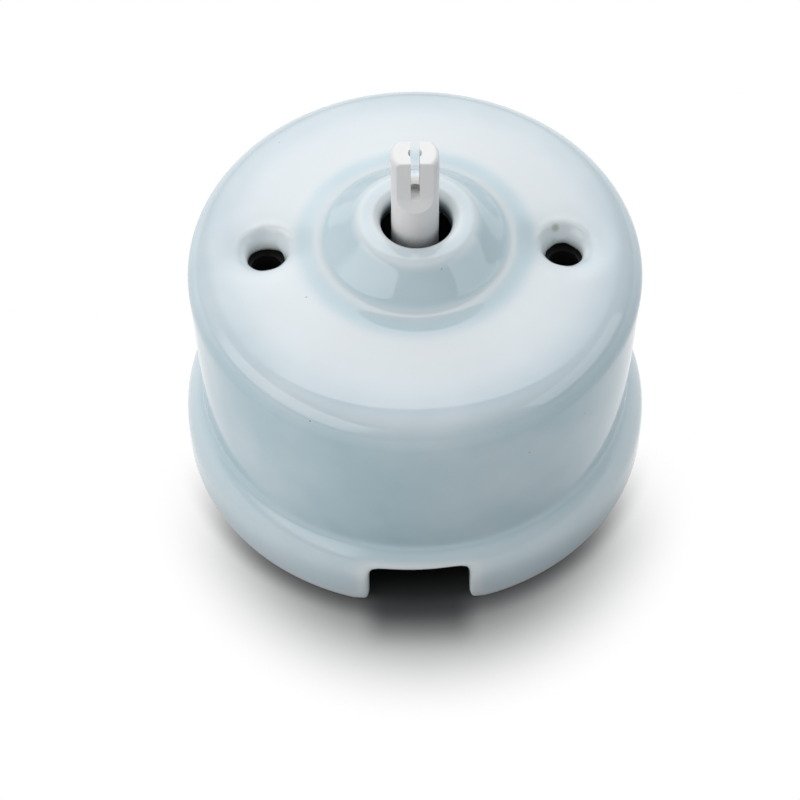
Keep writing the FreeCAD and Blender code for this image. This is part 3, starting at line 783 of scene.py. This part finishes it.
def fadeLamp(data, plan):  # runs from a low to a high level up the panel, and fades out at its sides and foot
    data.use_nodes = True
    tree = data.node_tree
    across = axesOf(tree, addNode(tree, "ShaderNodeNewGeometry").outputs["Parametric"])
    level = rampOf(tree, across["Y"], plan["low"], plan["high"])
    left = rampOf(tree, across["X"], 0, 1, (0, plan["sideFade"]), "SMOOTHSTEP")
    right = rampOf(tree, across["X"], 1, 0, (1 - plan["sideFade"], 1), "SMOOTHSTEP")
    foot = rampOf(tree, across["Y"], 0, 1, (0, plan["footFade"]), "SMOOTHSTEP")
    share = timesOf(tree, timesOf(tree, level, foot), timesOf(tree, left, right))
    tree.links.new(share, tree.nodes["Emission"].inputs["Strength"])


def addLamp(name, plan):
    data = bpy.data.lights.new(name, "AREA")
    data.shape = "RECTANGLE"
    data.size = 2 * math.tan(math.radians(plan["halfWide"]))
    data.size_y = 2 * math.tan(math.radians(plan["halfHigh"]))
    data.energy = plan["radiance"] * math.pi * data.size * data.size_y
    data.color = plan.get("colour", (1, 1, 1))
    if "sideFade" in plan:
        fadeLamp(data, plan)
    turn, rise = math.radians(plan["azimuth"]), math.radians(plan["elevation"])
    away = Vector((math.sin(turn) * math.cos(rise), -math.cos(turn) * math.cos(rise), math.sin(rise)))
    lamp = bpy.data.objects.new(name, data)
    lamp.location = away
    lamp.rotation_euler = (-away).to_track_quat("-Z", "Y").to_euler()
    bpy.context.scene.collection.objects.link(lamp)


floorPlan = {
    "size": 6.0,  # metres
    "below": 0.02,
    "rough": 0.6,
    "shine": 0.1,
    "pale": (0.5, 0.5, 0.5),
    # painted shadow: the floor is coloured dark grey in the patches before the part
    "shade": (0.06, 0.061, 0.063),
    # painted shade: the floor is coloured near black under the part
    "under": (0.008, 0.008, 0.008),
    "underRadii": (30.5, 32.3),
    "deepRadii": (26.0, 34.0),
    "front": (-26.0, -4.0),  # the shades lie before the part
    "shadeDepth": 0.9,
    "shadeCentre": (1.0, -12.0, 0),
    "shadeRadii": (20.0, 39.4),
    "contactDepth": 0.62,  # painted shadow: a darker line where the foot meets the floor
    "contactCentre": (0, 0, 0),
    "contactRadii": (32.3, 35.6),
    "notchDepth": 0.8,  # painted shadow: a darker patch before the cable notch
    "notchSides": (4.5, 9.0),
    "notchFront": (-40.0, -32.0),
}


def whiteForView(tree):  # 1 for rays that the camera or a reflection sends straight on
    path = addNode(tree, "ShaderNodeLightPath")
    total = path.outputs["Is Camera Ray"]
    for name in ("Is Glossy Ray", "Is Transmission Ray"):
        add = addNode(tree, "ShaderNodeMath", operation="ADD", use_clamp=True)
        tree.links.new(total, add.inputs[0])
        tree.links.new(path.outputs[name], add.inputs[1])
        total = add.outputs[0]
    return total


# a round patch of painted shadow on the floor
def roundPaintedShadow(tree, place, name):
    away = distanceOf(tree, place, floorPlan[name + "Centre"])
    return fadeOf(tree, away, floorPlan[name + "Depth"], 0, floorPlan[name + "Radii"])


# painted shadow before the cable notch
def notchPaintedShadow(tree, axes):
    side = addNode(tree, "ShaderNodeMath", operation="ABSOLUTE")
    tree.links.new(axes["X"], side.inputs[0])
    across = fadeOf(tree, side.outputs[0], floorPlan["notchDepth"], 0, floorPlan["notchSides"])
    return timesOf(tree, across, fadeOf(tree, axes["Y"], 0, 1, floorPlan["notchFront"]))


def openFloor(tree, place):  # 0 under the part, low in the painted shadow before it, 1 on the open floor
    axes = axesOf(tree, place)
    inFront = fadeOf(tree, axes["Y"], 1, 0, floorPlan["front"])
    clear = fadeOf(tree, distanceOf(tree, place), 0, 1, floorPlan["underRadii"], "LINEAR")
    patches = [roundPaintedShadow(tree, place, name) for name in ("shade", "contact")]
    for patch in patches + [notchPaintedShadow(tree, axes)]:
        clear = timesOf(tree, clear, rampOf(tree, timesOf(tree, patch, inFront), 1, 0))
    return clear


def floorFinish():
    material, tree, shader = newMaterial("paleFloor")
    shader.inputs["Roughness"].default_value = floorPlan["rough"]
    shader.inputs["Specular IOR Level"].default_value = floorPlan["shine"]
    place = placeOf(tree)
    clear = openFloor(tree, place)
    # painted shadow: the floor's colour runs from near black under the part to dark grey before it
    underEdge = fadeOf(tree, distanceOf(tree, place), 0, 1, floorPlan["deepRadii"])
    shade = mixOf(tree, underEdge, floorPlan["under"], floorPlan["shade"])
    tree.links.new(mixOf(tree, clear, shade, floorPlan["pale"]), shader.inputs["Base Color"])
    white = addNode(tree, "ShaderNodeEmission", {"Color": (1, 1, 1, 1), "Strength": 1.0})
    mix = addNode(tree, "ShaderNodeMixShader")
    tree.links.new(timesOf(tree, clear, whiteForView(tree)), mix.inputs[0])
    tree.links.new(shader.outputs[0], mix.inputs[1])
    tree.links.new(white.outputs[0], mix.inputs[2])
    tree.links.new(mix.outputs[0], tree.nodes["Material Output"].inputs["Surface"])
    return material


def layFloor():
    bm = bmesh.new()
    bmesh.ops.create_grid(bm, x_segments=1, y_segments=1, size=floorPlan["size"] / 2)
    bmesh.ops.translate(bm, vec=(0, 0, -floorPlan["below"] * mm), verts=bm.verts)
    floor = meshObject("floor", bm)
    floor.data.materials.append(floorFinish())


ambient = {"colour": (0.98, 0.99, 1.0), "strength": 0.31}


def lightRoom():
    world = bpy.data.worlds.new("studio")
    world.use_nodes = True
    room = world.node_tree.nodes["Background"]
    room.inputs["Color"].default_value = (*ambient["colour"], 1)
    room.inputs["Strength"].default_value = ambient["strength"]
    bpy.context.scene.world = world


placeCamera()
layFloor()
for name, plan in lamps.items():
    addLamp(name, plan)
lightRoom()
bpy.context.scene.view_settings.view_transform = "Standard"
print("studio built:", len(lamps), "lamps")
